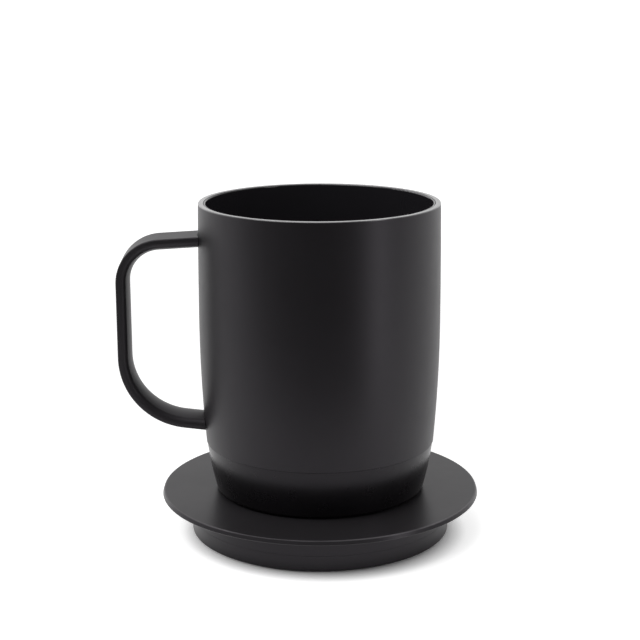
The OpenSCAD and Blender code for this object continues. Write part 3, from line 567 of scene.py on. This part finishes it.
def floor_lift(tree):
    """Glow of the floor: none under the coaster, strong round its foot, weaker farther out."""
    away = tree.nodes.new("ShaderNodeVectorMath")
    away.operation = "DISTANCE"
    tree.links.new(object_coordinates(tree), away.inputs[0])
    away.inputs[1].default_value = LIFT_CENTRE
    foot = remap(tree, away.outputs["Value"], 0.0, LIFT_FOOT, *FOOT_RANGE)
    near = remap(tree, away.outputs["Value"], 0.0, LIFT_NEAR - LIFT_FOOT, *NEAR_RANGE)
    far = remap(tree, away.outputs["Value"], 0.0, LIFT_FAR, *FAR_RANGE)
    return math_node(tree, "ADD", math_node(tree, "ADD", foot, near), far)


def add_floor():
    """White table top, open to the front, which glows only where it is seen or mirrored."""
    mesh = bpy.data.meshes.new("floor")
    corners = [(-FLOOR_SIDE, -FLOOR_FRONT, 0), (FLOOR_SIDE, -FLOOR_FRONT, 0),
               (FLOOR_SIDE, FLOOR_BACK, 0), (-FLOOR_SIDE, FLOOR_BACK, 0)]
    mesh.from_pydata(corners, [], [(0, 1, 2, 3)])
    floor = bpy.data.objects.new("floor", mesh)
    bpy.context.scene.collection.objects.link(floor)
    material, tree, shader = new_material("floor")
    shader.inputs["Base Color"].default_value = (FLOOR_WHITE, FLOOR_WHITE, FLOOR_WHITE, 1)
    shader.inputs["Roughness"].default_value = FLOOR_ROUGH
    shader.inputs["Specular IOR Level"].default_value = 0.0
    path = tree.nodes.new("ShaderNodeLightPath")
    seen = math_node(tree, "MAXIMUM", path.outputs["Is Camera Ray"], path.outputs["Is Glossy Ray"])
    seen = math_node(tree, "MAXIMUM", seen, path.outputs["Is Transmission Ray"])
    glow = math_node(tree, "MULTIPLY", seen, floor_lift(tree))
    shader.inputs["Emission Color"].default_value = (1, 1, 1, 1)
    tree.links.new(glow, shader.inputs["Emission Strength"])
    mesh.materials.append(material)


# Room and lamps

FRONT_LIGHT = 0.09
BACK_LIGHT = 0.90
LIGHT_DEPTH = (-1.0, 0.6)
RIGHT_SHADE = 0.4
CAMERA_WHITE = 1.0
LAMP_AIM = Vector((0, 0, 60 * MM))


def add_world():
    """White room behind the object, darker towards the front and the right."""
    world = bpy.data.worlds.new("world")
    bpy.context.scene.world = world
    world.use_nodes = True
    tree = world.node_tree
    background = tree.nodes["Background"]
    path = tree.nodes.new("ShaderNodeLightPath")
    way = axes(tree, tree.nodes.new("ShaderNodeTexCoord").outputs["Generated"])
    right = math_node(tree, "MAXIMUM", way["X"], 0.0)
    shade = math_node(tree, "MULTIPLY", right, RIGHT_SHADE)
    depth = math_node(tree, "SUBTRACT", way["Y"], shade)
    room = remap(tree, depth, FRONT_LIGHT, BACK_LIGHT, *LIGHT_DEPTH)
    strength = mix_value(tree, path.outputs["Is Camera Ray"], room, CAMERA_WHITE)
    background.inputs["Color"].default_value = (1, 1, 1, 1)
    tree.links.new(strength, background.inputs["Strength"])


def add_softbox(name, azimuth, elevation, distance, width, height, radiance):
    """Soft lamp that looks at the mug; azimuth turns from the camera's side towards +X."""
    data = bpy.data.lights.new(name, "AREA")
    data.shape = "RECTANGLE"
    data.size = width
    data.size_y = height
    data.energy = math.pi * width * height * radiance
    lamp = bpy.data.objects.new(name, data)
    turn = math.radians(azimuth)
    rise = math.radians(elevation)
    away = Vector((math.sin(turn) * math.cos(rise), -math.cos(turn) * math.cos(rise), math.sin(rise)))
    lamp.location = LAMP_AIM + away * distance
    lamp.rotation_euler = (-away).to_track_quat("-Z", "Y").to_euler()
    bpy.context.scene.collection.objects.link(lamp)


bpy.context.scene.view_settings.view_transform = "Standard"
add_floor()
add_world()
add_softbox("softbox_top", azimuth=-55, elevation=60, distance=1.2, width=0.9, height=0.9, radiance=2.9)
add_softbox("softbox_right", azimuth=53, elevation=4, distance=0.5, width=0.11, height=0.6, radiance=3.6)
